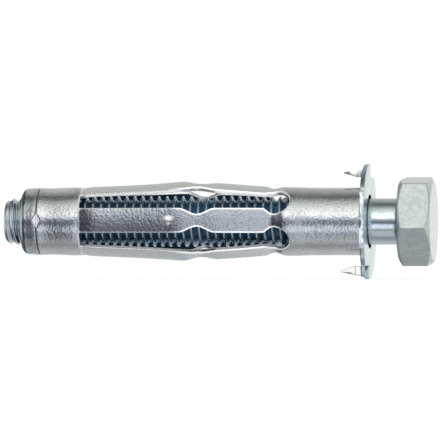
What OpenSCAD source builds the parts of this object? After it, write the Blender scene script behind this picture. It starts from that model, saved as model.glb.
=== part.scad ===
// Hollow wall anchor with its screw, nominal size 8 x 54.
// The axis of the anchor is X. The origin is on it, at the surface of the wall:
// the sleeve goes into the wall along -X, and the screw's head is outside, at +X.
// Directions round the axis start at the -Y side and turn towards +Z.

/* [Sleeve] */
// Thickness of the sheet
sheet_t = 0.7; // [0.4:0.05:0.9]
// Length of the sleeve, from the claw plate to the nut's collar
sleeve_len = 50.1; // [42:0.1:70]
// Length of whole tube beside the claw plate, up to the round ends of the slots
head_land = 11.15; // [6:0.05:16]
// Length of whole tube beside the nut's collar, up to the square ends of the slots
tail_land = 6.65; // [3:0.05:10]

/* [Legs] */
// Number of legs
legs = 5; // [4:1:6]
// Direction of the front leg
leg_turn = 2; // [0:1:72]
// Width of a leg
leg_w = 4; // [2.5:0.1:4.8]
// Width of a leg at its elbow and at its neck, where it bends on setting
waist_w = 2.15; // [1.2:0.05:2.4]
// Distance from the claw plate to the waist at the elbow
elbow_at = 25.2; // [21:0.1:30]
// How far the legs stand out past the tube beyond the elbow
peak_out = 0.92; // [0.2:0.02:1.4]
// How far they stand out at the waist itself
waist_out = 0.64; // [0.1:0.02:1.3]
// How far they stand out just before the elbow
bump_out = 0.71; // [0.1:0.02:1.3]
// How far they dip inwards at the neck
neck_dip = 0.2; // [0:0.02:0.4]
// Distance from the elbow's waist to the bump on the wall's side of it
bump_before = 2; // [1:0.1:3]
// Distance from the elbow's waist to the widest place beyond it
peak_beyond = 2.8; // [1.5:0.1:4]
// Distance over which a leg bends out of the tube at either end
foot_bend = 0.9; // [0.2:0.1:2]
// How far the tube springs out where the legs leave it
tube_spring = 0.06; // [0:0.01:0.2]
// Radius of the sweep from a leg's edge into the waist at the elbow
elbow_blend = 3; // [0.5:0.1:4]
// Radius of the sweep from a leg's edge into the waist at the neck
neck_blend = 1; // [0.3:0.1:1.5]

/* [Slits beside the claw plate] */
// Direction of the upper slit on the front half, which repeats on the back
slit_turn_up = 73.5; // [40:0.5:90]
// Direction of the lower slit on the front half, which repeats on the back
slit_turn_down = -54; // [-90:0.5:-30]
// Length of a slit
slit_len = 2.9; // [1:0.1:5]
// Width of a slit at its open end
slit_w = 0.3; // [0.1:0.05:0.6]

/* [Stakes that lock the nut] */
// Direction of the front stake, which repeats on the back
stake_turn = 2; // [-30:1:30]
// Length of a stake's diamond, along the axis
stake_len = 1.4; // [0.6:0.1:2.4]
// Width of a stake's diamond, round the tube
stake_w = 2.7; // [1:0.1:4]

/* [Claw plate] */
// Outer diameter
plate_d = 17.6; // [14.6:0.1:24]
// Thickness
plate_t = 0.7; // [0.5:0.05:1.2]
// Clearance of its hole round the screw's thread
plate_clearance = 0.2; // [0.1:0.05:0.4]
// Depth from the rim of the notch that a claw is cut from
notch_depth = 2.1; // [1.6:0.1:2.6]
// Distance from the axis plane to the bend of a claw
claw_y = 2; // [1:0.1:3]
// Width of a claw at its root
claw_w = 1.6; // [0.8:0.1:2]
// How far a claw reaches into the wall
claw_len = 3.7; // [2:0.1:6]
// Offset of a claw's point from its root's inner corner
claw_tip_rise = 0.8; // [0:0.1:1.6]

/* [Nut] */
// Wall of its spigot round the thread
nut_wall = 0.52; // [0.3:0.02:1.5]
// Length of the collar outside the sleeve
collar_len = 2.9; // [2:0.1:5]
// Radius of the collar's outer edge
collar_edge = 0.8; // [0.2:0.1:1]
// Length of the threaded spigot inside the sleeve
spigot_len = 5.6; // [2.5:0.1:6.2]
// Clearance of the spigot in the tube
spigot_clearance = 0.03; // [0.01:0.01:0.08]
// Clearance of the thread in the nut
thread_clearance = 0.05; // [0.02:0.01:0.08]

/* [Screw] */
// Outer diameter of the thread
thread_d = 7.8; // [6.5:0.05:9.5]
// How far the tip stands out of the nut
tip_out = 2.6; // [1.5:0.1:12]
// How much thinner than the thread the plain neck under the head is
neck_thinner = 0.7; // [0.2:0.05:1.2]
// Length of the plain neck
neck_len = 5; // [1:0.1:12]
// Gap left under the head for the fixture
grip_gap = 4.6; // [1:0.1:8]
// Width across the flats of the head
head_af = 12.75; // [11:0.05:14]
// Height of the head
head_h = 5.3; // [4:0.1:7]
// Direction of one corner of the head
head_turn = -7.9; // [-30:0.1:30]
// Diameter of the flat top inside the head's chamfer
head_flat_d = 12.2; // [9:0.1:12.6]
// Slope of the head's chamfer
head_chamfer = 30; // [15:1:45]
// Diameter of the bearing face under the head
bearing_d = 12.9; // [10:0.1:14]
// Fillet between neck and head
head_fillet = 0.4; // [0.1:0.1:0.6]
// How much thinner than the thread the flat end of the tip is
tip_thinner = 1.9; // [1:0.1:3]
// Length of the tip's chamfer
tip_len = 1.1; // [0.5:0.1:2]

/* [Hidden] */
$fn = 96;

thread_r = thread_d / 2;
neck_r = thread_r - neck_thinner / 2;
nut_bore_r = thread_r + thread_clearance;
spigot_r = nut_bore_r + nut_wall;
bore_r = spigot_r + spigot_clearance;
tube_r = bore_r + sheet_t;
slot_end_at = sleeve_len - tail_land;
// Round holes at the end and the elbow of each slot, which leave the legs their waists
neck_hole_r = slot_half(tube_r - neck_dip, waist_w);
elbow_hole_r = slot_half(tube_r + waist_out, waist_w);
neck_at = head_land + neck_hole_r;
head_under = plate_t + grip_gap;
screw_len = head_under + sleeve_len + collar_len + tip_out;
claw_z = plate_d / 2 - notch_depth;
claw_tip_z = claw_z + claw_tip_rise;
over = 1;
cutter_gap = 0.05;
// The sleeve's cutters start inside its bore, where they are still clear of each other
cut_from_r = elbow_hole_r / tan(180 / legs) + cutter_gap;

// Distance from the claw plate, and how far the sleeve's surface stands out there
SLEEVE_STATIONS = [
    [0, 0],
    [head_land - foot_bend / 2, tube_spring],
    [neck_at, -neck_dip],
    [neck_at + 2 * foot_bend, 2 * tube_spring],
    [elbow_at - bump_before, bump_out],
    [elbow_at, waist_out],
    [elbow_at + peak_beyond, peak_out],
    [slot_end_at - foot_bend, tube_spring],
    [slot_end_at + 2 * foot_bend, 0],
    [sleeve_len, 0],
];

// Half the width of a slot that leaves legs of width w at radius r
function slot_half(r, w) = r * sin(180 / legs - asin(w / 2 / r));

// Turns a shape made along Z so that it lies along X, with +X outside the wall
module along_x() {
    rotate([0, 90, 0]) children();
}

// Turns a shape made along Z to a direction round the axis
module turned(turn) {
    rotate([0, 0, -90 - turn]) children();
}

// A prism that runs outwards from the axis: its outline has x round the tube and y along it
module radial(from, to) {
    rotate([90, 0, 90]) translate([0, 0, from]) linear_extrude(to - from) children();
}

// Repeats a shape half a turn round the axis
module both_sides() {
    children();
    rotate([0, 0, 180]) children();
}

// A round hole in a slot whose edge is at half_w, with a sweep from each edge into the hole
// on the sides given: 1 towards the claw plate, -1 towards the nut
module swept_hole(r, half_w, blend, sides) {
    reach = sqrt((r + blend) ^ 2 - (half_w + blend) ^ 2);
    circle(r);
    for (y = sides) scale([1, y]) difference() {
        polygon([[0, 0], [half_w + blend, reach], [-half_w - blend, reach]]);
        for (x = [-1, 1]) translate([x * (half_w + blend), reach]) circle(blend);
    }
}

module slot_outline() {
    neck_half = slot_half(tube_r, leg_w);
    elbow_half = slot_half(tube_r + peak_out, leg_w);
    polygon([
        [neck_half, -neck_at], [-neck_half, -neck_at], [-elbow_half, -elbow_at],
        [-neck_half, -slot_end_at], [neck_half, -slot_end_at], [elbow_half, -elbow_at]]);
    translate([0, -neck_at])
        swept_hole(neck_hole_r, neck_half, neck_blend, [-1]);
    translate([0, -elbow_at])
        swept_hole(elbow_hole_r, slot_half(tube_r + waist_out, leg_w), elbow_blend, [-1, 1]);
}

// The half of each diamond that is on one side of the joint: 1 in the sleeve, -1 in the collar
module stake_cuts(side, floor_r) {
    both_sides() turned(stake_turn) radial(floor_r, tube_r + over)
        polygon([[0, side * stake_len / 2 - sleeve_len],
                 [-stake_w, -side * stake_len / 2 - sleeve_len],
                 [stake_w, -side * stake_len / 2 - sleeve_len]]);
}

module sleeve() {
    outside = [for (s = SLEEVE_STATIONS) [tube_r + s[1], -s[0]]];
    inside = [for (i = [len(SLEEVE_STATIONS) - 1:-1:0]) outside[i] - [sheet_t, 0]];
    color("silver") along_x() difference() {
        rotate_extrude() polygon(concat(outside, inside));
        for (i = [0:legs - 1])
            turned(leg_turn + (i + 0.5) * 360 / legs)
                radial(cut_from_r, 2 * tube_r) slot_outline();
        both_sides() for (turn = [slit_turn_up, slit_turn_down])
            turned(turn) radial(cut_from_r, 2 * tube_r)
                polygon([[-slit_w / 2, over], [slit_w / 2, over], [slit_w / 2, 0],
                         [0, -slit_len], [-slit_w / 2, 0]]);
        stake_cuts(1, cut_from_r);
    }
}

// One claw: the corner of the plate, cut free on two sides and bent towards the wall
module claw() {
    translate([0, plate_t - claw_y, 0]) rotate([90, 0, 0]) linear_extrude(plate_t)
        polygon([[plate_t, -claw_z], [plate_t, -claw_z - claw_w], [0, -claw_z - claw_w],
                 [-claw_len, -claw_tip_z], [0, -claw_z]]);
}

module claw_plate() {
    color("gainsboro") {
        difference() {
            along_x() cylinder(r = plate_d / 2, h = plate_t);
            along_x() translate([0, 0, -over])
                cylinder(r = thread_r + plate_clearance, h = plate_t + 2 * over);
            for (side = [0, 180]) rotate([side, 0, 0])
                translate([-over, -plate_d - claw_y, -plate_d - claw_z])
                    cube([plate_t + 2 * over, plate_d, plate_d]);
        }
        for (side = [0, 180]) rotate([side, 0, 0]) claw();
    }
}

module nut() {
    collar_end = -sleeve_len - collar_len;
    inner_r = tube_r - collar_edge;
    color("silver") along_x() difference() {
        rotate_extrude() difference() {
            union() {
                translate([0, collar_end + collar_edge])
                    square([tube_r, collar_len - collar_edge]);
                translate([0, collar_end]) square([inner_r, collar_len]);
                translate([inner_r, collar_end + collar_edge]) circle(collar_edge);
                translate([0, -sleeve_len - collar_edge])
                    square([spigot_r, spigot_len + collar_edge]);
            }
            translate([0, collar_end - over])
                square([nut_bore_r, collar_len + spigot_len + 2 * over]);
        }
        stake_cuts(-1, bore_r);
    }
}

module hexagon_head() {
    corner_r = head_af / 2 / cos(30);
    top_drop = (corner_r - head_flat_d / 2) * tan(head_chamfer);
    foot_rise = (corner_r - bearing_d / 2) * tan(head_chamfer);
    intersection() {
        turned(head_turn) cylinder(r = corner_r, h = head_h, $fn = 6);
        rotate_extrude() polygon([
            [0, 0], [bearing_d / 2, 0], [corner_r, foot_rise],
            [corner_r, head_h - top_drop], [head_flat_d / 2, head_h], [0, head_h]]);
    }
}

module screw() {
    color("lightsteelblue") along_x() translate([0, 0, head_under]) {
        hexagon_head();
        rotate_extrude() polygon([
            [0, 0], [neck_r + head_fillet, 0], [neck_r, -head_fillet], [neck_r, -neck_len],
            [thread_r, -neck_len - thread_r + neck_r], [thread_r, tip_len - screw_len],
            [thread_r - tip_thinner / 2, -screw_len], [0, -screw_len]]);
    }
}

sleeve();
claw_plate();
nut();
screw();
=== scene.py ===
# hollow wall anchor, 8 x 54: sleeve with five bowed legs, claw plate, nut and hexagon head screw
# the axis is X, with the wall's surface at x = 0, the sleeve along -X and the screw's head at +X
import math
import bmesh
import bpy
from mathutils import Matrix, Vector
from mathutils.geometry import delaunay_2d_cdt


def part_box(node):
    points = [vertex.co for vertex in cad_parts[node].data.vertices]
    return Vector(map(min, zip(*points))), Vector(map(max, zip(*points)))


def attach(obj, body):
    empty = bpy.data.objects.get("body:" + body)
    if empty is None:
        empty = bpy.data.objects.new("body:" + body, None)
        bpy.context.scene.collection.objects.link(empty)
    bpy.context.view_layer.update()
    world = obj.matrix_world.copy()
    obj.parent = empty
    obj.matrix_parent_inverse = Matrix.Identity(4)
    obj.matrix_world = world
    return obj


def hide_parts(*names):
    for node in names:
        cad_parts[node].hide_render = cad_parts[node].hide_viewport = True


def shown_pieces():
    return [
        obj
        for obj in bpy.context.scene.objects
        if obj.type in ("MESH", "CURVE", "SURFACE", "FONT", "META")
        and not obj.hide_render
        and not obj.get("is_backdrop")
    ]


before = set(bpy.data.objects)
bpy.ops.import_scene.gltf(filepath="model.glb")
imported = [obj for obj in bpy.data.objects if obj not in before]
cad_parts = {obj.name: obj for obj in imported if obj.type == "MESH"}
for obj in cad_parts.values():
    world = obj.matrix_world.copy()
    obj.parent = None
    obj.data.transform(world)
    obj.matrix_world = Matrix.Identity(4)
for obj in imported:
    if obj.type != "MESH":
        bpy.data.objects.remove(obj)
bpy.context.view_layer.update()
mm = 0.001
fullTurn = 2 * math.pi


def interpolate(table, x):
    # smooth curve through given (x, value) pairs, flat at every high and low point
    xs = [p[0] for p in table]
    ys = [p[1] for p in table]
    if x <= xs[0]:
        return ys[0]
    if x >= xs[-1]:
        return ys[-1]
    i = max(k for k in range(len(xs) - 1) if xs[k] <= x)
    width = xs[i + 1] - xs[i]
    rise = [(ys[k + 1] - ys[k]) / (xs[k + 1] - xs[k]) for k in range(len(xs) - 1)]

    def slope(k):
        if k == 0 or k == len(xs) - 1 or rise[k - 1] * rise[k] <= 0:
            return 0.0
        return 2 * rise[k - 1] * rise[k] / (rise[k - 1] + rise[k])

    t = (x - xs[i]) / width
    a, b = slope(i) * width, slope(i + 1) * width
    return ((2 * t ** 3 - 3 * t ** 2 + 1) * ys[i] + (t ** 3 - 2 * t ** 2 + t) * a
            + (3 * t ** 2 - 2 * t ** 3) * ys[i + 1] + (t ** 3 - t ** 2) * b)


def smooth(t):
    t = min(1.0, max(0.0, t))
    return t * t * (3 - 2 * t)


def around(x, turn, radius):
    # turn 0 is the front, -Y, and turns go up from there towards +Z
    return Vector((x, -radius * math.cos(turn), radius * math.sin(turn)))


def turnGap(a, b):
    # signed angle from b to a, between minus and plus half a turn
    return (a - b + math.pi) % fullTurn - math.pi


def steps(start, end, size):
    # even steps of about this size, without the end itself
    count = max(1, round((end - start) / size))
    return [start + (end - start) * k / count for k in range(count)]


def quarterTurn(count):
    # angles from nothing to a quarter turn, in this many steps
    return [math.pi / 2 * k / count for k in range(count + 1)]


def edgeProfile(thickness, outerRound, innerRound, count=4):
    # (inset, depth) pairs round the edge of a sheet, from its outer face to its inner face
    arc = quarterTurn(count)
    outer = [(outerRound * (1 - math.sin(a)), outerRound * (1 - math.cos(a))) for a in arc]
    inner = [(innerRound * (1 - math.sin(a)), thickness - innerRound * (1 - math.cos(a))) for a in arc]
    return outer + inner[::-1]


def addObject(name, data):
    made = bpy.data.objects.new(name, data)
    bpy.context.scene.collection.objects.link(made)
    return made


meshSettings = {"weld": 0.002, "sharpAngle": 48.0}


class Shell:
    # collects points in millimetres and the faces between them
    def __init__(self):
        self.points = []
        self.worn = []
        self.deep = []
        self.faces = []

    def row(self, points, worn=0.0, deep=0.0):
        # the wear-and-highlight mask and the painted shade are each one number for the row, or a list with
        # one for each point
        first = len(self.points)
        self.points += points
        self.worn += worn if isinstance(worn, list) else [worn] * len(points)
        self.deep += deep if isinstance(deep, list) else [deep] * len(points)
        return list(range(first, len(self.points)))

    def grid(self, rows, closed=False, gaps=()):
        for a, b in zip(rows, rows[1:]):
            for j in range(len(a) if closed else len(a) - 1):
                if j not in gaps:
                    k = (j + 1) % len(a)
                    self.faces.append((a[j], a[k], b[k], b[j]))

    def build(self, name):
        mesh = bpy.data.meshes.new(name)
        mesh.from_pydata([p * mm for p in self.points], [], self.faces)
        mesh.attributes.new("worn", "FLOAT", "POINT").data.foreach_set("value", self.worn)
        mesh.attributes.new("deep", "FLOAT", "POINT").data.foreach_set("value", self.deep)
        bm = bmesh.new()
        bm.from_mesh(mesh)
        bmesh.ops.remove_doubles(bm, verts=bm.verts, dist=meshSettings["weld"] * mm)
        bmesh.ops.dissolve_degenerate(bm, edges=bm.edges, dist=0.1 * meshSettings["weld"] * mm)
        bmesh.ops.recalc_face_normals(bm, faces=bm.faces)
        limit = math.radians(meshSettings["sharpAngle"])
        for face in bm.faces:
            face.smooth = True
        for edge in bm.edges:
            edge.smooth = not (edge.is_manifold and edge.calc_face_angle() > limit)
        loose = [e for e in bm.edges if not e.is_manifold]
        print("scene:", name, len(bm.faces), "faces,", len(loose), "open edges")
        bm.to_mesh(mesh)
        bm.free()
        return addObject(name, mesh)


stakeShape = {
    "turn": 2.0, "length": 1.35, "width": 2.65, "depth": 0.26, "slope": 0.4,
    "worn": 0.7, "sheenSlope": 0.3, "rim": 0.8, "rimAt": 0.02, "rimWidth": 0.14, "gapSlope": 0.15,
}


def stakeInside(x, turn, radius, seamX):
    # 1 at the middle of the diamond that a punch has pressed across the joint, 0 at its outline
    s = stakeShape
    across = min(abs(turnGap(turn, math.radians(s["turn"]) + side)) for side in (0, math.pi)) * radius
    return 1 - across / (s["width"] / 2) - abs(x - seamX) / (s["length"] / 2)


def stakeMarks(x, turn, radius, seamX):
    # how deep the dent is, the painted shade along the diamond's outline, and the wear and painted
    # highlight in its middle
    s = stakeShape
    inside = stakeInside(x, turn, radius, seamX)
    dent = min(1, max(0, inside) / s["slope"]) * s["depth"]
    rim = s["rim"] * max(0, 1 - abs(inside - s["rimAt"]) / s["rimWidth"])
    return dent, rim, s["worn"] * smooth(inside / s["sheenSlope"])


def besideStake(turn, radius):
    # 0 where the joint runs through the diamond, 1 everywhere else
    return 1 - smooth(stakeInside(0, turn, radius, 0) / stakeShape["gapSlope"] + 0.5)


sleeveShape = {
    "sheet": 0.7, "legs": 5, "legTurn": 2.0, "legWidth": 4.0, "waistWidth": 2.15,
    "headLand": 11.15, "tailLand": 6.65, "elbowAt": 25.2, "elbowSweep": 2.8,
    "neckHole": 2.06, "neckSweep": 0.5, "cornerRound": 0.25, "edgeRound": 0.22, "innerRound": 0.08,
    "rimRound": 0.18, "flatEdge": 0.36,
    # distance from the claw plate, how flat a leg is across
    "flatness": [(11.6, 0), (15, 0.85), (27, 0.85), (30, 0.75), (40.9, 0.72), (42.6, 0.9), (43.5, 0.9)],
    # direction of each slit, width at its mouth; then how many columns spread apart round one
    "slits": [(73.5, 0.85), (-54.0, 0.13), (253.5, 0.85), (126.0, 0.13)], "slitLength": 2.9,
    "slitReach": 9, "slitFade": 4, "slitClosed": 0.01,
    "legColumns": 24, "endColumns": 8, "crowding": 0.35, "roundSteps": 12, "cornerSteps": 4,
    # spacing of the rows beside a leg's neck over this length, then down the leg to each distance
    "neckRows": (2.4, 0.2), "legRows": [(22, 0.55), (30.4, 0.22), (41.5, 0.6)], "footStep": 0.2,
    # spacing beside the collar, over the last length at its joint, between the slits and past them
    "tailStep": 0.3, "jointLength": 1, "jointStep": 0.11, "slitFrom": 0.3, "slitStep": 0.29,
    "headStep": 0.5, "headStops": (0.5, 0.4), "settle": 0.12, "shareOver": 2,
    # distance from the claw plate, how much wear and painted highlight a leg's edges have there, and then
    # the painted highlight on its lower cut face
    "edgeSheenAlong": [(10, 0.4), (12.5, 0.6), (14.5, 1.0), (26.5, 1.0), (30, 0.3), (42, 0.3), (43.6, 0.5)],
    "cutHighlight": [(12.8, 0.25), (14, 1.0), (22, 1.0), (23.2, 0.35), (27, 0.35), (28.5, 1.0), (42.5, 1.0),
                (43.3, 0.3)],
    # share of that painted highlight on the upper cut face, which is painted darker, and the part of the
    # sheet's depth that is cut face
    "upperCut": 0.45, "cutBand": (0.25, 0.9),
    # distance from the claw plate, place across the front leg, half length, half width, how bright each
    # painted highlight is
    "paintedGlints": [(29.5, 0.35, 1.3, 0.8, 1.0), (29.5, -0.5, 0.6, 0.5, 0.7)],
    # distance from the tube's end or from a leg's edge, how much wear and painted highlight it has there
    "endSheen": [(0, 0.65), (0.4, 0.4), (0.8, 0.0)], "tubeRimSheen": 0.5,
    "paintedEdge": [(0, 0.8), (0.1, 0.3), (0.24, 0.0)],
    # depth past which the joint at the collar has its full painted shade, and its share of that nearer the
    # surface
    "jointDark": (0.03, 0.3),
    # distance from the claw plate, radius of the outer face
    "outline": [(0, 5.18), (4, 5.16), (8.4, 5.19), (11.3, 5.27), (12.2, 5.26), (13.8, 4.98), (15, 5.2),
                (17, 5.42), (20.8, 5.74), (23.2, 5.9), (25.2, 5.98), (28, 6.11), (30, 5.97), (33.1, 5.77),
                (36.9, 5.56), (40, 5.43), (41.3, 5.38), (42.3, 5.31), (43.6, 5.19), (44.3, 5.23),
                (45.5, 5.21), (48.8, 5.11), (50.1, 5.15)],
    # a leg's foot sits this much below the tube, over this length
    "ledge": 0.08, "ledgeLength": 1.5,
    # how far each leg stands out or in from that outline, the front one first and then upwards
    "offsets": [[(0, 0)], [(11.5, 0), (13.6, 0.2), (17, 0.1), (25.2, 0.12), (28, 0.1), (34, 0)],
                [(22.6, 0), (25.2, -0.1), (27.8, 0)], [(22.6, 0), (25.2, -0.1), (27.8, 0)],
                [(22.6, 0), (25.2, -0.17), (27.8, 0)]],
}


def makeSleeve():
    s = sleeveShape
    low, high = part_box("sleeve")
    length = (high.x - low.x) / mm
    sector = math.pi / s["legs"]
    endAt = length - s["tailLand"]
    neckAt = s["headLand"] + s["neckHole"]
    columns, rounding = s["legColumns"], s["edgeRound"]
    profile = edgeProfile(s["sheet"], rounding, s["innerRound"])
    rimProfile = edgeProfile(s["sheet"], s["rimRound"], s["innerRound"])
    legCentres = [math.radians(s["legTurn"]) + 2 * sector * leg for leg in range(s["legs"])]

    def point(turn, d, depth):
        outer = interpolate(s["outline"], d)
        if s["headLand"] < d < endAt:
            # a leg is flatter across than the tube it is cut from
            across, leg = min((abs(turnGap(turn, c)), leg) for leg, c in enumerate(legCentres))
            outer += interpolate(s["offsets"][leg], d)
            outer -= s["ledge"] * max(0, 1 - (endAt - d) / s["ledgeLength"]) ** 2
            flat = interpolate(s["flatness"], d)
            if across < s["flatEdge"]:
                outer *= 1 + flat * (math.cos(s["flatEdge"]) / math.cos(across) - 1)
        dent = stakeMarks(-d, turn, outer, -length)[0] * (1 - depth / s["sheet"])
        return around(-d, turn, outer - depth - dent)

    def legHalf(d):
        full = s["legWidth"] / 2
        sweep = min(1, abs(d - s["elbowAt"]) / s["elbowSweep"])
        full -= (s["legWidth"] - s["waistWidth"]) / 4 * (1 + math.cos(math.pi * sweep))
        reach = s["neckHole"] ** 2 - (d - neckAt) ** 2
        if reach <= 0:
            return full
        hole = sector * interpolate(s["outline"], d) - math.sqrt(reach)
        blend = min(1, max(0, 0.5 + 0.5 * (full - hole) / s["neckSweep"]))
        return full + (hole - full) * blend - s["neckSweep"] * blend * (1 - blend)

    # a slot's edge, from its round end beside the head to the middle of its square end, measured
    # from the slot's middle or the leg's middle, with the direction into the metal
    edge = []
    for a in reversed(quarterTurn(s["roundSteps"])):
        edge.append(("slot", s["neckHole"] * math.cos(a), neckAt - s["neckHole"] * math.sin(a),
                     math.cos(a), -math.sin(a)))
    bend = s["cornerRound"]
    cornerAt = endAt - bend
    at, stations = neckAt, []
    neckLength, neckStep = s["neckRows"]
    for end, step in [(neckAt + neckLength, neckStep), *s["legRows"], (cornerAt, s["footStep"])]:
        stations += steps(at, end, step)
        at = end
    nudge = 0.01
    for d in stations[1:]:
        slope = (legHalf(d + nudge) - legHalf(d - nudge)) / (2 * nudge)
        size = math.hypot(1, slope)
        edge.append(("leg", legHalf(d), d, -1 / size, slope / size))
    endHalf = sector * interpolate(s["outline"], cornerAt) - legHalf(cornerAt)
    for a in quarterTurn(s["cornerSteps"]):
        edge.append(("slot", endHalf - bend + bend * math.cos(a), cornerAt + bend * math.sin(a),
                     math.cos(a), math.sin(a)))
    lastRow = len(edge) - 1 - s["cornerSteps"] // 2
    for k in range(1, s["endColumns"] + 1):
        edge.append(("slot", (endHalf - bend) * (1 - k / s["endColumns"]), endAt, 0, 1))

    def edgeAt(i, inset):
        # angle from the leg's middle, and distance from the claw plate
        kind, across, d, toAcross, toD = edge[i]
        d += inset * toD
        angle = (across + inset * toAcross) / interpolate(s["outline"], d)
        return (sector - angle if kind == "slot" else angle), d

    def legColumns(i):
        # evenly spaced where the leg leaves the tube, and then closer together at its edges
        even = [2 * c / columns - 1 for c in range(columns + 1)]
        closer = [u * (1 + s["crowding"] * (1 - u * u)) for u in even]
        t = min(1, i / s["roundSteps"])
        return [a + (b - a) * t for a, b in zip(even, closer)]

    shell = Shell()
    faceInset = {0: rounding, s["sheet"]: s["innerRound"]}
    for centre in legCentres:
        for side in (-1, 1):
            rows = []
            for inset, depth in profile:
                path = [edgeAt(i, inset) for i in range(len(edge))]
                # painted highlight on the cut faces, weaker on the upper one; on the rounded edges partly
                # wear, partly painted highlight
                cut = s["cutBand"][0] < depth / s["sheet"] < s["cutBand"][1]
                worn = [interpolate(s["cutHighlight"], d) * (1.0 if side < 0 else s["upperCut"]) if cut
                        else interpolate(s["edgeSheenAlong"], d) for half, d in path]
                rows.append(shell.row([point(centre + side * half, d, depth) for half, d in path], worn))
            shell.grid(rows)
        for depth, inset in faceInset.items():
            rows = []
            for i in range(lastRow + 1):
                half, d = edgeAt(i, inset)
                radius = interpolate(s["outline"], d)
                us = legColumns(i)
                # partly wear, partly painted highlight near the leg's edges, growing in from where it
                # leaves the tube
                fade = min(1, i / s["roundSteps"]) * interpolate(s["edgeSheenAlong"], d)
                worn = [fade * interpolate(s["paintedEdge"], (1 - abs(u)) * half * radius) for u in us]
                if depth == 0 and centre == legCentres[0]:
                    # two painted highlights where the front leg bends
                    for at, across, long, wide, shine in s["paintedGlints"]:
                        worn = [max(w, shine * smooth(1 - abs(d - at) / long)
                                    * smooth(1 - abs(u * half * radius - across) / wide))
                                for w, u in zip(worn, us)]
                # the inner face carries full painted shade
                rows.append(shell.row([point(centre + half * u, d, depth) for u in us], worn,
                                      1.0 if depth else 0.0))
            shell.grid(rows)

    # the whole tube beside the collar
    tailEdges = {}
    for depth, inset in faceInset.items():
        ends = [edgeAt(i, inset) for i in range(lastRow + 1, len(edge))]
        half, first = edgeAt(lastRow, inset)
        tailEdges[depth] = []
        for centre in legCentres:
            tailEdges[depth] += [(centre - a, d) for a, d in reversed(ends[:-1])]
            tailEdges[depth] += [(centre + half * u, first) for u in legColumns(lastRow)]
            tailEdges[depth] += [(centre + a, d) for a, d in ends]
    for depth, inset in ((0, s["rimRound"]), (s["sheet"], s["innerRound"])):
        # the inner face carries full painted shade
        rows = [shell.row([point(a, d, depth) for a, d in tailEdges[depth]], 0.0, 1.0 if depth else 0.0)]
        settled = endAt + rounding + s["settle"]
        jointAt = length - s["jointLength"]
        stations = steps(settled, jointAt, s["tailStep"])
        for d in stations + steps(jointAt, length - inset, s["jointStep"]) + [length - inset]:
            # both faces share the outer face's directions by the time they reach the rim
            t = smooth((d - settled) / s["shareOver"])
            turns = [b[0] + (a[0] - b[0]) * t for a, b in zip(tailEdges[0], tailEdges[depth])]
            outer = interpolate(s["outline"], d)
            # the inner face carries full painted shade; the outer face gets painted shade along the
            # stake's outline and wear with painted highlight in its middle
            marks = [(0, 1, 0) if depth else stakeMarks(-d, a, outer, -length) for a in turns]
            rows.append(shell.row([point(a, d, depth) for a in turns],
                                  [mark[2] for mark in marks], [mark[1] for mark in marks]))
        shell.grid(rows, closed=True)
    endTurns = [place[0] for place in tailEdges[0]]
    endRadius = s["outline"][-1][1]
    darkFrom, darkShare = s["jointDark"]
    # painted shade in the joint at the collar, left out where the stake crosses it; wear with painted
    # highlight in the stake's middle
    shell.grid([shell.row([point(a, length - inset, depth) for a in endTurns],
                          [stakeMarks(-length, a, endRadius, -length)[2] for a in endTurns],
                          [besideStake(a, endRadius) * (1.0 if depth > darkFrom else darkShare)
                           for a in endTurns])
                for inset, depth in rimProfile], closed=True)

    # the whole tube beside the claw plate, with its four slits
    total = columns * s["legs"]
    pitch = fullTurn / total
    start = legCentres[0] - sector
    slits = {}
    for degrees, width in s["slits"]:
        turn = math.radians(degrees)
        gap = int(((turn - start) % fullTurn) / pitch)
        slits[gap] = (turnGap(turn, start + (gap + 0.5) * pitch), width)

    def headTurn(column, d):
        turn = start + column * pitch
        fade = 1 - smooth((d - s["slitLength"]) / s["slitFade"])
        for gap, (shift, width) in slits.items():
            away = (column - gap - 0.5 + total / 2) % total - total / 2
            if abs(away) < s["slitReach"]:
                # the columns spread apart round the slit, and close up again beyond it
                opening = width * max(0, 1 - d / s["slitLength"]) + s["slitClosed"]
                spread = opening / 2 / s["outline"][0][1] - pitch / 2
                moved = shift + spread * (1 if away > 0 else -1)
                turn += fade * moved * (1 - (abs(away) - 0.5) / (s["slitReach"] - 0.5)) ** 2
        return turn

    nearNeck, lastStop = (s["headLand"] - stop for stop in s["headStops"])
    headStations = [s["rimRound"]] + steps(s["slitFrom"], s["slitLength"], s["slitStep"])
    headStations += steps(s["slitLength"], nearNeck, s["headStep"]) + [lastStop]
    slitRows = headStations.index(s["slitLength"])
    faces = {}
    for depth, inset in faceInset.items():
        stations = headStations if depth == 0 else [s["innerRound"]] + headStations[1:]
        # wear and painted highlight on the outer face near the tube's end
        rows = [shell.row([point(headTurn(c, d), d, depth) for c in range(total)],
                          0.0 if depth else interpolate(s["endSheen"], d)) for d in stations]
        neckRow = shell.row([point(start + c * pitch, edgeAt(0, inset)[1], depth) for c in range(total)])
        faces[depth] = rows + [neckRow]
        shell.grid(faces[depth][:slitRows + 1], closed=True, gaps=slits)
        shell.grid(faces[depth][slitRows:], closed=True)
    # wear and painted highlight round the tube's rim at the claw plate
    rim = [shell.row([point(headTurn(c, inset), inset, depth) for c in range(total)], s["tubeRimSheen"])
           for inset, depth in rimProfile]
    shell.grid(rim, closed=True, gaps=slits)
    outer, inner = faces[0], faces[s["sheet"]]
    for gap in slits:
        n = (gap + 1) % total
        for c in (gap, n):
            for r in range(slitRows):
                shell.faces.append((outer[r][c], outer[r + 1][c], inner[r + 1][c], inner[r][c]))
            shell.faces.append(tuple(row[c] for row in rim))
        shell.faces.append((outer[slitRows][gap], outer[slitRows][n],
                            inner[slitRows][n], inner[slitRows][gap]))
    return shell.build("bowed_sleeve")


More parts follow.
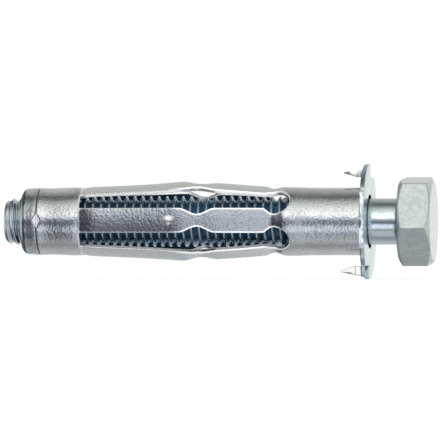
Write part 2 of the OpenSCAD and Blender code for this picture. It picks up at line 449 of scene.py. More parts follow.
nutShape = {
    "columns": 200, "arcSteps": 8, "bore": 3.95, "grooveDepth": 0.3, "pitch": 1.25,
    "mouth": 0.5, "mouthRim": 0.02, "boreDark": 0.9, "seamShade": 0.9,
    "endRound": 0.8, "endDraw": 0.3, "seamRound": 0.2, "spigot": 4.47, "chamfer": 0.3, "leastWall": 0.15,
    "endRadius": 5.06, "seamRadius": 5.14, "widening": 1.6, "firstStep": 0.2, "step": 0.12,
    # radius in the middle of the face against the sleeve, and past which the outer face begins
    "seamStep": 4.8, "skin": 4.9,
}


def makeNut(seamX):
    s = nutShape
    low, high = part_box("nut")
    endX, innerX = low.x / mm + s["endDraw"], high.x / mm
    arc = quarterTurn(s["arcSteps"])
    e, f = s["endRound"], s["seamRound"]
    outline = [(endX, s["bore"] + s["mouth"] + s["mouthRim"])]
    outline += [(endX + e - e * math.cos(a), s["endRadius"] - e + e * math.sin(a)) for a in arc]
    wider = s["seamRadius"] - s["endRadius"]
    outline += [(x, s["endRadius"] + wider * smooth((x - endX - e) / s["widening"]))
                for x in steps(endX + e + s["firstStep"], seamX - f, s["step"])]
    outline += [(seamX - f + f * math.sin(a), s["seamRadius"] - f + f * math.cos(a)) for a in arc[::2]]
    outline += [(seamX, s["seamStep"]), (seamX, s["spigot"])]
    outline += [(innerX - s["chamfer"], s["spigot"]), (innerX, s["spigot"] - s["chamfer"])]

    def boreRadius(x, turn):
        # the thread's grooves are cut outwards from the bore, so a full screw slides clear of them
        phase = (x - screwShape["crestX"]) / s["pitch"] + turn / fullTurn
        groove = 0.5 + 0.5 * math.cos(fullTurn * phase)
        widest = s["bore"] + s["mouth"] * max(0, 1 - (x - endX) / s["mouth"])
        return min(max(widest, s["bore"] + s["grooveDepth"] * groove), s["spigot"] - s["leastWall"])

    shell = Shell()
    rows = []
    turns = [fullTurn * c / s["columns"] for c in range(s["columns"])]
    for x, r in outline:
        # painted shade in the joint against the sleeve, left out where the stake crosses it, and along the
        # stake's outline
        seam = smooth((x - seamX) / f + s["seamShade"]) if r > s["spigot"] else 0.0
        marks = [stakeMarks(x, t, r, seamX) if r > s["skin"] else (0, 0, 0) for t in turns]
        deep = [max(seam * besideStake(t, r), mark[1]) for t, mark in zip(turns, marks)]
        points = [around(x, t, r - mark[0]) for t, mark in zip(turns, marks)]
        rows.append(shell.row(points, [mark[2] for mark in marks], deep))
    for x in reversed(steps(endX, innerX, s["step"])[1:]):
        # painted shade inside the bore
        rows.append(shell.row([around(x, t, boreRadius(x, t)) for t in turns], 0.0, s["boreDark"]))
    shell.grid(rows + [rows[0]], closed=True)
    return shell.build("turned_nut")


plateShape = {
    "edgeRound": 0.1, "hole": 4.1, "holePoints": 96, "arcStep": 3.0, "notchAt": 6.7, "tear": 0.08,
    "notchRound": 0.15, "tearRound": 0.03,
    "bendRadius": 1.3, "bendRows": 8, "clawFace": 2.0, "twist": 10.0, "twistOver": 1.5,
    "crease": 1.3, "creaseWidth": 0.1, "creaseAngle": 4.0, "creaseDark": 0.9,
    "rootMark": 0.35, "rootWidth": 0.12, "rootFrom": 6, "innerBand": 0.3, "lowerDark": 0.4,
    # how much wear and painted highlight the rim has, how far from the middle that begins to fade, and
    # over what height
    "rimSheen": 0.75, "rimSheenFrom": 3.5, "rimSheenOver": 4,
    # X where a claw's wear and painted highlight begin, and the length over which they grow into the wall
    "clawSheenFrom": 0.1, "clawSheenOver": 0.3,
    # share of the way from a claw's edge to its middle where the painted shade ends, and on the upper claw
    "edgeDark": 0.6, "upperDark": 1.0, "upperBand": 0.4, "clawMiddle": 1.2, "tipRound": 0.18,
    # a claw's edges past its root: distance into the wall, distance from the axis
    "clawUpper": [(0.8, 6.78), (1.42, 6.78)], "clawTip": (4.15, 7.59),
    "clawLower": [(2.3, 7.93), (0.8, 8.2)],
}


def roundedLoop(corners):
    # (y, z, radius) corners to a closed loop of points, with an arc in each corner
    loop = []
    for i, (y, z, radius) in enumerate(corners):
        here = Vector((y, z))
        if radius == 0:
            loop.append(here)
            continue
        back = (Vector(corners[i - 1][:2]) - here).normalized()
        on = (Vector(corners[(i + 1) % len(corners)][:2]) - here).normalized()
        half = back.angle(on) / 2
        middle = here + (back + on).normalized() * radius / math.sin(half)
        a = here + back * radius / math.tan(half) - middle
        b = here + on * radius / math.tan(half) - middle
        arcs = 4
        for k in range(arcs + 1):
            loop.append(middle + (a * (1 - k / arcs) + b * k / arcs).normalized() * radius)
    return loop


def insetLoop(loop, inset):
    # moves a loop that runs anticlockwise into the metal on its left
    moved = []
    for i, here in enumerate(loop):
        normals = []
        for a, b in ((loop[i - 1], here), (here, loop[(i + 1) % len(loop)])):
            along = (b - a).normalized()
            normals.append(Vector((-along.y, along.x)))
        both = normals[0] + normals[1]
        moved.append(here + both * inset / (1 + normals[0].dot(normals[1])))
    return moved


def makeClawPlate():
    s = plateShape
    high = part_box("claw_plate")[1]
    rim = high.z / mm
    sheet = high.x / mm
    outer = s["bendRadius"]
    bendY = outer - s["clawFace"]
    bendLength = (outer - sheet / 2) * math.pi / 2

    def flat(into, z):
        # place of a point of the claw before it was bent
        return bendY - bendLength - (into - (outer - sheet)), -z

    notch = s["notchAt"]

    def withCrease(ends):
        # an edge of the claw, with three points close together where the crease crosses it
        (a, za), (b, zb) = ends
        marks = [s["crease"] + k * s["creaseWidth"] * (1 if b > a else -1) for k in (-1, 0, 1)]
        crossing = [flat(m, za + (zb - za) * (m - a) / (b - a)) for m in marks]
        return [flat(*ends[0])] + crossing + [flat(*ends[1])]

    upper, lower = withCrease(s["clawUpper"]), withCrease(s["clawLower"])
    bendRows = [bendY - bendLength * k / s["bendRows"] for k in range(1, s["bendRows"] + 1)]
    firstTurn = math.atan2(-math.sqrt(rim ** 2 - bendY ** 2), -bendY)
    lastTurn = math.atan2(-notch, math.sqrt(rim ** 2 - notch ** 2))
    half = []
    turn = firstTurn + math.pi
    while turn > lastTurn + math.radians(0.5 * s["arcStep"]):
        half.append((-rim * math.cos(turn), rim * math.sin(turn), 0))
        turn -= math.radians(s["arcStep"])
    half.append((-math.sqrt(rim ** 2 - notch ** 2), -notch, s["notchRound"]))
    half += [(bendY, -notch, s["tearRound"]), (bendY, -notch - s["tear"], s["tearRound"])]
    half += [(y, -notch - s["tear"], 0) for y in bendRows]
    half += [(y, z, 0) for y, z in upper] + [(*flat(*s["clawTip"]), s["tipRound"])]
    half += [(y, z, 0) for y, z in lower]
    lowY, lowZ = lower[-1]
    rimZ = -math.sqrt(rim ** 2 - bendY ** 2)
    for y in reversed(bendRows):
        if y > lowY + 0.1:
            half.append((y, lowZ + (rimZ - lowZ) * (y - lowY) / (bendY - lowY), 0))
    loop = roundedLoop(half + [(-y, -z, r) for y, z, r in half])
    area = sum(a.x * b.y - a.y * b.x for a, b in zip(loop, loop[1:] + loop[:1]))
    if area < 0:
        loop.reverse()
    count = s["holePoints"]
    holeTurns = [fullTurn * k / count for k in range(count)]
    hole = [Vector((s["hole"] * math.cos(a), -s["hole"] * math.sin(a))) for a in holeTurns]

    def place(p, depth):
        side = 1 if p.y < 0 else -1
        y, z = side * p.x, side * p.y
        x = sheet - depth
        if z < -notch - s["tear"] / 2 and y < bendY:
            along = bendY - y
            a = min(along / (outer - sheet / 2), math.pi / 2)
            rest = max(0, along - bendLength)
            x = sheet - outer + (outer - depth) * math.cos(a) - rest
            below = -notch - s["tear"] - z
            y = bendY - (outer - depth) * math.sin(a)
            y -= below * math.tan(math.radians(s["twist"])) * smooth(a / s["twistOver"])
            y += max(0, -x - s["crease"]) * math.tan(math.radians(s["creaseAngle"]))
        return Vector((x, side * y, side * z))

    def marked(p, depth):
        # painted shade lines across a claw's outer face, at its crease and at its root
        crease = s["creaseDark"] if abs(p.x + s["crease"]) < 0.3 * s["creaseWidth"] else 0.0
        onClaw = abs(p.z) > s["rootFrom"]
        root = 1.0 if onClaw and abs(p.x + s["rootMark"]) < s["rootWidth"] / 2 else 0.0
        return 0.0 if depth > sheet / 2 else max(crease, root)

    shell = Shell()
    profile = edgeProfile(sheet, s["edgeRound"], s["edgeRound"])
    for path in (loop, hole):
        rows = []
        inner = [place(p, sheet / 2) for p in insetLoop(path, s["edgeRound"])]
        for inset, depth in profile:
            points = [place(p, depth) for p in insetLoop(path, inset)]
            worn, deep = [], []
            for p, q, r in zip(points, inner, [place(p, depth) for p in path]):
                # painted shade on a claw's edges that face down, lighter painted shade on the lower claw's
                # other edges, and full painted shade round the hole's edge
                on = inset < s["edgeRound"]
                claw = p.x < -0.1
                down = (q.z - r.z) / s["edgeRound"] > 0.3
                dark = 1.0 if claw and down else s["lowerDark"] if on and claw and p.z < 0 else 0.0
                deep.append(max(marked(p, depth), 1.0 if on and path is hole else dark))
                # wear and painted highlight on the claws, and on the rim about its middle height
                rimSheen = s["rimSheen"] * (1 - smooth((abs(p.z) - s["rimSheenFrom"]) / s["rimSheenOver"]))
                worn.append(1.0 if claw else rimSheen if on and path is loop else 0.0)
            rows.append(shell.row(points, worn, deep))
        shell.grid(rows, closed=True)
    edges = insetLoop(loop, s["edgeRound"])
    holeEdge = insetLoop(hole, s["edgeRound"])
    # more points just inside a claw's edges, where the painted shade of the edge ends
    beside, darkBeside = [], []
    for side in (1, -1):
        claw = [p for p in edges if side * p.y < -notch and side * p.x < bendY - bendLength - 0.1]
        lowest, highest = min(side * p.y for p in claw), max(side * p.y for p in claw)
        middle = Vector((bendY - bendLength - s["clawMiddle"], (lowest + highest) / 2)) * side
        beside += [p + (middle - p) * s["edgeDark"] for p in claw]
        if side < 0:
            # the upper claw's lower edge has a wider band of painted shade
            darkBeside = [p + (middle - p) * s["upperBand"] for p in claw if p.y < s["clawTip"][1] - 0.05]
    points = edges + holeEdge + beside + darkBeside
    fixed = [(i, (i + 1) % len(edges)) for i in range(len(edges))]
    fixed += [(len(edges) + i, len(edges) + (i + 1) % count) for i in range(count)]
    # creases across each claw, from its inner edge to its outer one, so that it bends in rows
    for side in (1, -1):
        claw = [i for i, p in enumerate(edges) if side * p.y < -notch - s["tear"] / 2]
        innerEdge = [i for i in claw if abs(side * edges[i].y + notch + s["tear"]) < s["innerBand"]]
        outerEdge = [i for i in claw if i not in innerEdge]
        for y in bendRows + [p[0] for p in upper]:
            fixed.append(tuple(min(near, key=lambda i: abs(edges[i].x - side * y))
                               for near in (innerEdge, outerEdge)))
    made = delaunay_2d_cdt(points, fixed, [], 1, 1e-5)
    for depth in (0, sheet):
        points = [place(p, depth) for p in made[0]]
        # painted shade on the upper claw's wide band and on the crease and root lines; wear and painted
        # highlight growing along the claws
        deep = [s["upperDark"] if min((p - q).length for q in darkBeside) < 1e-4 else marked(placed, depth)
                for p, placed in zip(made[0], points)]
        worn = [smooth((s["clawSheenFrom"] - p.x) / s["clawSheenOver"]) for p in points]
        ids = shell.row(points, worn, deep)
        for face in made[2]:
            if max(made[0][i].length for i in face) > s["hole"] + s["edgeRound"] + 0.01:
                shell.faces.append(tuple(ids[i] for i in face))
    return shell.build("stamped_claw_plate")


screwShape = {
    "pitch": 1.25, "crest": 3.88, "root": 3.16, "crestX": -53.94, "neck": 3.54, "neckLength": 5.0,
    "fillet": 0.4, "filletSteps": 5, "filletDark": 0.35, "runOut": 1.3,
    "flats": 12.68, "corner": 0.22, "turn": -7.9, "headHeight": 5.28, "flatTop": 6.1, "bearing": 6.1,
    "slope": 30.0, "edge": 0.15, "paintedEdge": 0.8, "topEdgeShade": 0.3,
    # the head's edges in shares of "edge": how far inside the flats, and how far along the axis
    "underInsets": (2, 1, 0.3), "underTilt": 0.15,
    "lowerEdge": [(0.3, -0.7), (0.08, -0.08), (0, 0.5), (0, 1)],
    "upperEdge": [(0, 1.0), (0, 0.5), (0.08, 0.04), (0.7, -0.4)],
    # how far below the top, and how far outside its flat; then the rings inside it and on the tip
    "topEdge": [(0.03, 0.05), (0, -0.06)], "topRings": (5.6, 4, 2), "tipEdge": 0.3, "tipRing": 1.2,
    # spacing of the rows where the thread runs out over the neck, then the neck's last two rows
    "outRows": (1.4, 0.14), "neckMiddle": 3, "neckEnd": 0.3,
    # how far the tip and the head's top stay inside, and the tiny radius that closes a flat face
    "tipDraw": 0.2, "topDraw": 0.12, "centre": 0.001,
    # distance from the wall, how much painted shade the neck has there, in the plate's hole
    "neckDark": [(0.2, 0.9), (0.7, 0.45), (1.1, 0.0)],
    # part of a pitch from a crest, height above the root
    "profile": [(0, 1), (0.07, 0.97), (0.15, 0.745), (0.28, 0.38), (0.4, 0.04), (0.5, 0), (0.6, 0.04),
                (0.72, 0.38), (0.85, 0.745), (0.93, 0.97)],
    # distance from the tip, largest radius there
    "tip": [(0, 2.9), (0.2, 3.16), (0.7, 3.45), (1.4, 3.55), (2.3, 3.7), (3.6, 3.85), (4.6, 3.9)],
    # length of thread outside the nut, over what length its painted shade grows, how much painted shade
    # its roots have there, and how much paler the crests further in are painted
    "shownTip": 3.4, "shownFade": 1.5, "rootDark": 0.25, "crestPale": 0.7,
    # angles from the middle of a flat
    "columns": [-30, -29.6, -29.2, -28.6, -27.3, -25, -20, -15, -10, -5, 0,
                5, 10, 15, 20, 25, 27.3, 28.6, 29.2, 29.6],
}


def makeScrew():
    s = screwShape
    low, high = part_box("screw")
    tipX, topX = low.x / mm + s["tipDraw"], high.x / mm - s["topDraw"]
    bearX = high.x / mm - s["headHeight"]
    neckX = bearX - s["neckLength"]
    apothem = s["flats"] / 2
    cornerRadius = apothem / math.cos(math.pi / 6)
    centreOut = cornerRadius - s["corner"] / math.cos(math.pi / 6)
    tangentAt = math.atan((cornerRadius / 2 - s["corner"] * math.tan(math.pi / 6)) / apothem)
    columns = [(math.radians(s["turn"] + 30 + 60 * side + a), math.radians(a))
               for side in range(6) for a in s["columns"]]
    turns = [t for t, a in columns]

    def hexRadius(a):
        if abs(a) <= tangentAt:
            return apothem / math.cos(a)
        b = math.pi / 6 - abs(a)
        return centreOut * math.cos(b) + math.sqrt(s["corner"] ** 2 - (centreOut * math.sin(b)) ** 2)

    def threadRadius(x, height):
        crest = min(s["crest"], interpolate(s["tip"], x - tipX))
        root = min(s["root"], crest)
        out = smooth((x - neckX + s["runOut"]) / s["runOut"])
        thread = root + (crest - root) * height
        return thread + (s["neck"] - thread) * out

    shell = Shell()

    def ring(x, r, worn=0.0, deep=0.0):
        return shell.row([around(x, t, r) for t in turns], worn, deep)

    rows = []
    perPitch = len(s["profile"])
    base = s["crestX"] + s["pitch"] * math.floor((tipX - s["crestX"]) / s["pitch"])
    for n in range(int((neckX - base) / s["pitch"]) + 3):
        for part, height in s["profile"]:
            points, deep = [], []
            for t in turns:
                x = base + (n + part) * s["pitch"] - s["pitch"] * t / fullTurn
                x = min(neckX, max(tipX, x))
                points.append(around(x, t, threadRadius(x, height)))
                # past the shown tip the thread carries painted shade, lighter on its crests; on the shown
                # tip only its roots get some
                inside = smooth((x - tipX - s["shownTip"]) / s["shownFade"])
                deep.append(inside * (1 - s["crestPale"] * height ** 3)
                            + s["rootDark"] * (1 - inside) * (1 - height))
            rows.append(shell.row(points, 0.0, deep))
    shell.grid(rows)
    # the end of a turn joins the start of the next one, a pitch further on
    for j in range(perPitch, len(rows) - 1):
        a, b, c, d = rows[j], rows[j + 1], rows[j - perPitch], rows[j + 1 - perPitch]
        shell.faces.append((a[-1], c[0], d[0], b[-1]))

    # flat tip
    tipRadius = s["tip"][0][1]
    shell.grid([ring(tipX, r) for r in (tipRadius, tipRadius - s["tipEdge"], s["tipRing"], s["centre"])],
               closed=True)

    # neck, fillet and bearing face
    fillet = s["fillet"]
    outLength, outStep = s["outRows"]
    neckStations = steps(neckX, neckX + outLength, outStep) + [neckX + outLength]
    neckStations += [neckX + s["neckMiddle"], bearX - fillet - s["neckEnd"], bearX - fillet]
    # painted shade on the neck in the plate's hole, and on the fillet
    neckRows = [ring(x, s["neck"], 0.0, interpolate(s["neckDark"], x)) for x in neckStations]
    for a in quarterTurn(s["filletSteps"])[1:]:
        neckRows.append(ring(bearX - fillet + fillet * math.sin(a),
                             s["neck"] + fillet * (1 - math.cos(a)), 0.0, s["filletDark"]))
    slope = math.tan(math.radians(s["slope"]))
    b = s["edge"]
    underRows, sideRows, topRows = [], [], []
    for share in s["underInsets"]:
        x = bearX + s["underTilt"] * max(0, b - share * b)
        underRows.append(shell.row([around(x, t, min(s["bearing"], hexRadius(a)) - share * b)
                                    for t, a in columns]))
    for inset, rise in s["lowerEdge"]:
        sideRows.append([around(bearX + b + max(0, hexRadius(a) - s["bearing"]) * slope + rise * b, t,
                                hexRadius(a) - inset * b) for t, a in columns])
    for inset, drop in s["upperEdge"]:
        topRows.append([around(topX - max(0, hexRadius(a) - s["flatTop"]) * slope - drop * b, t,
                               hexRadius(a) - inset * b) for t, a in columns])
    # painted shade on the head's edges and round its top, in the head's darker edge colour
    underRows += [shell.row(r, s["paintedEdge"] if k < 3 else 0) for k, r in enumerate(sideRows)]
    middle = [(p + q) / 2 for p, q in zip(sideRows[-1], topRows[0])]
    underRows += [shell.row(middle)]
    underRows += [shell.row(r, s["paintedEdge"] if 0 < k < 3 else 0) for k, r in enumerate(topRows)]
    underRows += [ring(topX - drop, s["flatTop"] + out, s["topEdgeShade"]) for drop, out in s["topEdge"]]
    underRows += [ring(topX, r) for r in (*s["topRings"], s["centre"])]
    shell.grid(neckRows + underRows, closed=True)
    piece = shell.build("hexagon_screw")
    for face in piece.data.polygons:
        face.material_index = 1 if face.center.x > (bearX - 0.01) * mm else 0
    return piece


def addNode(tree, kind, inputs=None, **settings):
    node = tree.nodes.new(kind)
    for key, value in settings.items():
        setattr(node, key, value)
    for key, value in (inputs or {}).items():
        if isinstance(value, bpy.types.NodeSocket):
            tree.links.new(value, node.inputs[key])
        else:
            node.inputs[key].default_value = value
    return node


def newGroup(name, inputs, outputs):
    # a socket's kind follows from its default: a number, a direction or a colour
    tree = bpy.data.node_groups.new(name, "ShaderNodeTree")
    for way, sockets in (("INPUT", inputs), ("OUTPUT", outputs)):
        for socketName, default in sockets.items():
            kind = "Float" if isinstance(default, float) else "Vector" if len(default) == 3 else "Color"
            socket = tree.interface.new_socket(socketName, in_out=way, socket_type="NodeSocket" + kind)
            socket.default_value = default
    return tree, tree.nodes.new("NodeGroupInput").outputs, tree.nodes.new("NodeGroupOutput").inputs


def newMaterial(name):
    material = bpy.data.materials.new(name)
    material.use_nodes = True
    return material, material.node_tree, material.node_tree.nodes["Principled BSDF"]


def maths(tree, operation, first, second=0.5, third=0.5, clamp=False):
    return addNode(tree, "ShaderNodeMath", {0: first, 1: second, 2: third},
                   operation=operation, use_clamp=clamp).outputs[0]


def remap(tree, value, start, end, low=0.0, high=1.0):
    return addNode(tree, "ShaderNodeMapRange",
                   {"Value": value, 1: start, 2: end, 3: low, 4: high}).outputs[0]


def mixColours(tree, factor, plain, other, kind="MIX"):
    return addNode(tree, "ShaderNodeMix", {"Factor": factor, 6: plain, 7: other},
                   data_type="RGBA", blend_type=kind).outputs[2]


def noise(tree, place, scale, detail, roughness):
    return addNode(tree, "ShaderNodeTexNoise", {"Vector": place, "Scale": scale, "Detail": detail,
                                                "Roughness": roughness}).outputs["Fac"]


mottleLook = {
    # scale of each noise, and between which of its values the mask rises
    "cloudScale": 420.0, "cloudRange": (0.35, 0.6), "blotchScale": 2600.0, "blotchRange": (0.42, 0.58),
    "scuffScale": 1100.0, "scuffRange": (0.44, 0.58), "bareFrom": (0.8, 0.95),
    # roughness over the blotches, and what wear with painted highlight adds to it
    "roughOver": (0.3, 0.7, 0.75, 1.3), "wornRough": 0.15,
    # metallic over the wear with painted highlight, and what painted shade takes away
    "metalOver": (0.2, 1.0, 1.0, 0.1), "shadeMetal": -0.3,
}


def mottleGroup():
    # cloudy patches and small blotches of the plating, then its other shades: wear with painted highlight,
    # and painted shade
    grey = (0.5, 0.5, 0.5, 1)
    tree, given, out = newGroup(
        "zinc mottle",
        {"Plain": grey, "Cloud": grey, "Bright": grey, "Dark": grey, "Size": 1.0, "Roughness": 0.25,
         "Worn": 0.0, "Deep": 0.0, "Scuff": 0.0},
        {"Color": grey, "Roughness": 0.25, "Metallic": 1.0, "Height": 0.5})
    look = mottleLook
    place = addNode(tree, "ShaderNodeTexCoord").outputs["Object"]
    big, small, middling = (maths(tree, "MULTIPLY", given["Size"], look[name])
                            for name in ("cloudScale", "blotchScale", "scuffScale"))
    clouds = noise(tree, place, big, 3.0, 0.6)
    blotches = noise(tree, place, small, 2.0, 0.5)
    scuffs = noise(tree, place, middling, 2.0, 0.6)
    both = maths(tree, "MULTIPLY", remap(tree, clouds, *look["cloudRange"]),
                 remap(tree, blotches, *look["blotchRange"]))
    # edges with wear and painted highlight lose it in places, but the brightest ones keep it
    scuffMask = remap(tree, scuffs, *look["scuffRange"])
    edgeMask = remap(tree, given["Worn"], *look["bareFrom"], 1.0, 0.0)
    lost = maths(tree, "MULTIPLY", maths(tree, "MULTIPLY", scuffMask, given["Scuff"]), edgeMask)
    worn = maths(tree, "MULTIPLY", given["Worn"], maths(tree, "SUBTRACT", 1.0, lost))
    colour = mixColours(tree, both, given["Plain"], given["Cloud"])
    colour = mixColours(tree, worn, colour, given["Bright"])
    colour = mixColours(tree, given["Deep"], colour, given["Dark"])
    tree.links.new(colour, out["Color"])
    rough = maths(tree, "MULTIPLY", remap(tree, blotches, *look["roughOver"]), given["Roughness"])
    rough = maths(tree, "MULTIPLY_ADD", worn, look["wornRough"], rough)
    tree.links.new(rough, out["Roughness"])
    metal = remap(tree, worn, *look["metalOver"])
    metal = maths(tree, "MULTIPLY_ADD", given["Deep"], look["shadeMetal"], metal, clamp=True)
    tree.links.new(metal, out["Metallic"])
    tree.links.new(blotches, out["Height"])
    return tree


def grainGroup():
    # long fine lines left by drawing, turning or rolling, stretched along one direction
    tree, given, out = newGroup("drawn grain", {"Stretch": (1, 1, 1), "Scale": 2500.0}, {"Height": 0.5})
    place = addNode(tree, "ShaderNodeTexCoord").outputs["Object"]
    stretched = addNode(tree, "ShaderNodeVectorMath", {0: place, 1: given["Stretch"]},
                        operation="MULTIPLY").outputs[0]
    tree.links.new(noise(tree, stretched, given["Scale"], 3.0, 0.6), out["Height"])
    return tree


mottle = mottleGroup()
grain = grainGroup()

# the head's edges are painted darker than its faces as shade; on all the others the edge colour is paler,
# partly wear and partly painted highlight
finishes = {
    "sleeve_zinc": {"plain": (0.81, 0.83, 0.84), "cloud": (0.71, 0.725, 0.765),
                    "bright": (0.96, 0.97, 0.98), "dark": (0.06, 0.15, 0.22), "size": 1.0,
                    "roughness": 0.12, "stretch": (0.06, 1, 1), "grain": 0.65, "bump": 1.25, "scuff": 0.0},
    "plate_zinc": {"plain": (0.50, 0.65, 0.70), "cloud": (0.45, 0.58, 0.63), "bright": (0.96, 0.97, 0.97),
                   "dark": (0.02, 0.03, 0.03), "size": 0.7, "roughness": 0.07, "stretch": (1, 0.5, 1),
                   "grain": 0.06, "bump": 0.12, "scuff": 0.8},
    "nut_zinc": {"plain": (0.70, 0.74, 0.75), "cloud": (0.52, 0.54, 0.60), "bright": (0.95, 0.96, 0.97),
                 "dark": (0.04, 0.05, 0.04), "size": 0.9, "roughness": 0.16, "stretch": (1, 0.06, 0.06),
                 "grain": 0.12, "bump": 1.0, "scuff": 0.0},
    "screw_zinc": {"plain": (0.80, 0.88, 0.91), "cloud": (0.68, 0.78, 0.83), "bright": (0.85, 0.88, 0.9),
                   "dark": (0.045, 0.14, 0.24), "size": 0.8, "roughness": 0.12, "stretch": (1, 0.3, 0.3),
                   "grain": 0.08, "bump": 0.3, "scuff": 0.0},
    "head_zinc": {"plain": (0.74, 0.78, 0.79), "cloud": (0.71, 0.76, 0.77), "bright": (0.2, 0.24, 0.24),
                  "dark": (0.1, 0.12, 0.13), "size": 0.5, "roughness": 0.25, "stretch": (0.15, 1, 1),
                  "grain": 0.15, "bump": 0.06, "scuff": 0.3},
}
bumpHeights = {"mottle": 0.00003, "grain": 0.00001}


def zincFinish(name):
    f = finishes[name]
    material, tree, shader = newMaterial(name)
    patches = addNode(tree, "ShaderNodeGroup", node_tree=mottle)
    for socket in ("Plain", "Cloud", "Bright", "Dark", "Size", "Roughness", "Scuff"):
        value = f[socket.lower()]
        patches.inputs[socket].default_value = (*value, 1) if isinstance(value, tuple) else value
    for socket, attribute in (("Worn", "worn"), ("Deep", "deep")):
        mask = addNode(tree, "ShaderNodeAttribute", attribute_name=attribute).outputs["Fac"]
        tree.links.new(mask, patches.inputs[socket])
    lines = addNode(tree, "ShaderNodeGroup", node_tree=grain)
    lines.inputs["Stretch"].default_value = f["stretch"]
    first = addNode(tree, "ShaderNodeBump", {"Height": patches.outputs["Height"], "Strength": f["bump"],
                                             "Distance": bumpHeights["mottle"]})
    second = addNode(tree, "ShaderNodeBump", {"Height": lines.outputs["Height"], "Strength": f["grain"],
                                              "Distance": bumpHeights["grain"],
                                              "Normal": first.outputs["Normal"]})
    for source, target in (("Color", "Base Color"), ("Roughness", "Roughness"), ("Metallic", "Metallic")):
        tree.links.new(patches.outputs[source], shader.inputs[target])
    tree.links.new(second.outputs["Normal"], shader.inputs["Normal"])
    return material


def finishPiece(piece, node, body, slotName, *others):
    for name in (slotName, *others):
        piece.data.materials.append(zincFinish(name))
    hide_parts(node)
    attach(piece, body)
    print("scene:", piece.name, "stands for", node)


sleeve = makeSleeve()
nut = makeNut(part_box("sleeve")[0].x / mm)
clawPlate = makeClawPlate()
screw = makeScrew()
finishPiece(sleeve, "sleeve", "anchor", "sleeve_zinc")
finishPiece(nut, "nut", "anchor", "nut_zinc")
finishPiece(clawPlate, "claw_plate", "anchor", "plate_zinc")
finishPiece(screw, "screw", "screw", "screw_zinc", "head_zinc")


studio = {
    "floorSize": 6.0, "floorColour": (0.86, 0.86, 0.86), "floorRough": 0.9, "floorWhite": 0.85,
    "keyPower": 18.0, "keySize": 1.2, "keyPlace": (-0.5, -1.5, 1.9),
    # angle from the front, up over the top, and brightness of what the metal mirrors there
    "mirrored": [(-180, 0.95), (-165, 0.75), (-152, 0.52), (-124, 0.54), (-105, 0.38), (-88, 0.25),
                 (-76, 0.5), (-64, 0.54), (-52, 0.5), (-41, 0.32), (-31, 1.02), (-17, 0.95), (-9, 0.14),
                 (1, 0.14), (11, 0.62), (18, 1.5), (25, 1.8), (34, 1.35), (45, 1.06), (54, 0.82),
                 (64, 0.61), (76, 0.39), (90, 0.10), (105, 0.22), (124, 0.40), (152, 0.56), (165, 0.78),
                 (180, 0.95)],
    # the same for metal that faces the tail a little, and then the head
    "mirroredBehind": [(-180, 0.95), (-144, 0.5), (-119, 0.48), (-101, 0.42), (-86, 0.29), (-73, 0.38),
                       (-60, 0.19), (-49, 0.17), (-38, 0.24), (-27, 0.36), (-17, 0.24), (-7, 0.14),
                       (-2, 0.18), (3, 0.27), (8, 0.5), (12, 0.66), (24, 0.9), (34, 0.76), (45, 0.73),
                       (57, 0.69), (69, 0.42), (82, 0.18), (94, 0.14), (112, 0.4), (134, 0.56),
                       (155, 0.52), (180, 0.95)],
    "mirroredAhead": [(-180, 0.95), (-152, 0.64), (-124, 0.6), (-90, 0.4), (-60, 0.5), (-30, 0.66),
                      (-14, 0.5), (-6, 0.72), (2, 0.44), (10, 0.74), (20, 0.6), (45, 0.85), (64, 0.6),
                      (90, 0.2), (124, 0.42), (152, 0.64), (180, 0.95)],
    # X of the mirrored direction between which each of these two takes over
    "behind": (-0.155, -0.185), "ahead": (-0.1, -0.05),
    "coolTint": (0.925, 0.985, 1.07), "lowTint": (0.955, 0.995, 1.02), "warmTint": (0.985, 1.01, 0.965),
    "backTint": (0.99, 0.99, 0.94), "sideTint": (0.95, 0.92, 1.12),
    # X of the mirrored direction, how much of that brightness is left
    "sideways": [(-1.0, 0.6), (-0.82, 0.5), (-0.68, 0.26), (-0.45, 0.2), (-0.34, 0.25), (-0.28, 1.0),
                 (0.5, 1.0), (0.8, 0.9), (1.0, 0.9)],
    # brightness of what lies along the axis, from how near it, and of the light on what doesn't mirror
    "ends": 0.72, "endRange": (0.8, 0.98), "ambient": 1.25,
}


def makeFloor():
    low = min((piece.matrix_world @ Vector(corner)).z
              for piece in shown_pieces() for corner in piece.bound_box)
    half = studio["floorSize"] / 2
    mesh = bpy.data.meshes.new("floor")
    mesh.from_pydata([(-half, -half, low), (half, -half, low), (half, half, low), (-half, half, low)],
                     [], [(0, 1, 2, 3)])
    floor = addObject("floor", mesh)
    material, tree, shader = newMaterial("pale floor")
    shader.inputs["Base Color"].default_value = (*studio["floorColour"], 1)
    shader.inputs["Roughness"].default_value = studio["floorRough"]
    shader.inputs["Specular IOR Level"].default_value = 0.0
    white = addNode(tree, "ShaderNodeEmission", {"Strength": 1.0}).outputs[0]
    path = addNode(tree, "ShaderNodeLightPath")
    shown = maths(tree, "ADD", path.outputs["Is Camera Ray"], path.outputs["Is Glossy Ray"])
    shown = maths(tree, "ADD", shown, path.outputs["Is Transmission Ray"])
    factor = maths(tree, "MULTIPLY", shown, studio["floorWhite"], clamp=True)
    mix = addNode(tree, "ShaderNodeMixShader", {0: factor, 1: shader.outputs[0], 2: white})
    tree.links.new(mix.outputs[0], tree.nodes["Material Output"].inputs["Surface"])
    mesh.materials.append(material)
    floor.visible_glossy = False
    floor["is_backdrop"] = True


def addRamp(tree, factor, colours):
    ramp = addNode(tree, "ShaderNodeValToRGB", {"Fac": factor})
    stops = ramp.color_ramp.elements
    stops.remove(stops[1])
    for k, (at, colour) in enumerate(colours):
        stop = stops.new(at) if k else stops[0]
        stop.position = at
        stop.color = (*colour, 1)
    return ramp.outputs["Color"]


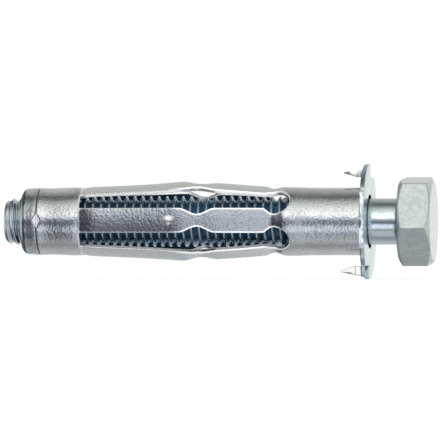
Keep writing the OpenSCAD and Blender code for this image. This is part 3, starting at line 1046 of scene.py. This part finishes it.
def makeWorld():
    world = bpy.data.worlds.new("studio")
    bpy.context.scene.world = world
    world.use_nodes = True
    tree = world.node_tree
    tree.nodes.clear()
    direction = addNode(tree, "ShaderNodeTexCoord").outputs["Generated"]
    parts = addNode(tree, "ShaderNodeSeparateXYZ", {0: direction}).outputs
    angle = maths(tree, "ARCTAN2", parts["Z"], maths(tree, "MULTIPLY", parts["Y"], -1.0))
    place = remap(tree, angle, -math.pi, math.pi)
    ramp = None
    for name in ("", "Behind", "Ahead"):
        tinted = []
        for degrees, value in studio["mirrored" + name]:
            tint = studio["lowTint" if degrees < -45 else "coolTint" if degrees < 15 else "warmTint"]
            tint = studio["backTint"] if abs(degrees) > 160 else tint
            tinted.append((degrees / 360 + 0.5, [value * c for c in tint]))
        colour = addRamp(tree, place, tinted)
        if name:
            colour = mixColours(tree, remap(tree, parts["X"], *studio[name.lower()]), ramp, colour)
        ramp = colour
    # only the dark part of this is tinted
    fade = addRamp(tree, remap(tree, parts["X"], -1.0, 1.0),
                   [(x / 2 + 0.5, [left * (c if left < 0.5 else 1) for c in studio["sideTint"]])
                    for x, left in studio["sideways"]])
    shaded = mixColours(tree, 1.0, ramp, fade, "MULTIPLY")
    endMask = remap(tree, maths(tree, "ABSOLUTE", parts["X"]), *studio["endRange"])
    mirrored = mixColours(tree, endMask, shaded, (studio["ends"],) * 3 + (1,))
    path = addNode(tree, "ShaderNodeLightPath")
    soft = addNode(tree, "ShaderNodeBackground", {"Color": (1, 1, 1, 1), "Strength": studio["ambient"]})
    seen = addNode(tree, "ShaderNodeBackground", {"Color": mirrored, "Strength": 1.0})
    white = addNode(tree, "ShaderNodeBackground", {"Color": (1, 1, 1, 1), "Strength": 1.0})
    reflected = maths(tree, "ADD", path.outputs["Is Glossy Ray"], path.outputs["Is Transmission Ray"],
                      clamp=True)
    first = addNode(tree, "ShaderNodeMixShader", {0: reflected, 1: soft.outputs[0], 2: seen.outputs[0]})
    second = addNode(tree, "ShaderNodeMixShader", {0: path.outputs["Is Camera Ray"], 1: first.outputs[0],
                                                   2: white.outputs[0]})
    output = addNode(tree, "ShaderNodeOutputWorld")
    tree.links.new(second.outputs[0], output.inputs["Surface"])


def makeKey():
    lamp = bpy.data.lights.new("key softbox", "AREA")
    lamp.shape = "SQUARE"
    lamp.size = studio["keySize"]
    lamp.energy = studio["keyPower"]
    key = addObject("key softbox", lamp)
    key.location = studio["keyPlace"]
    key.rotation_euler = (-key.location).to_track_quat("-Z", "Y").to_euler()
    key.visible_camera = False
    key.visible_glossy = False


cameraSettings = {"distance": 0.917, "turn": 8.2, "lens": 490.9, "aim": (-22.37, 0.23)}


def makeCamera():
    c = cameraSettings
    camera = addObject("camera", bpy.data.cameras.new("camera"))
    turn = math.radians(c["turn"])
    aim = Vector((c["aim"][0] * mm, 0, c["aim"][1] * mm))
    back = Vector((math.sin(turn), -math.cos(turn), 0))
    camera.location = aim + back * c["distance"]
    camera.rotation_euler = (-back).to_track_quat("-Z", "Y").to_euler()
    camera.data.lens = c["lens"]
    camera.data.clip_start = 0.01
    bpy.context.scene.camera = camera


makeFloor()
makeWorld()
makeKey()
makeCamera()
bpy.context.scene.view_settings.view_transform = "Standard"
print("scene: studio and camera made")
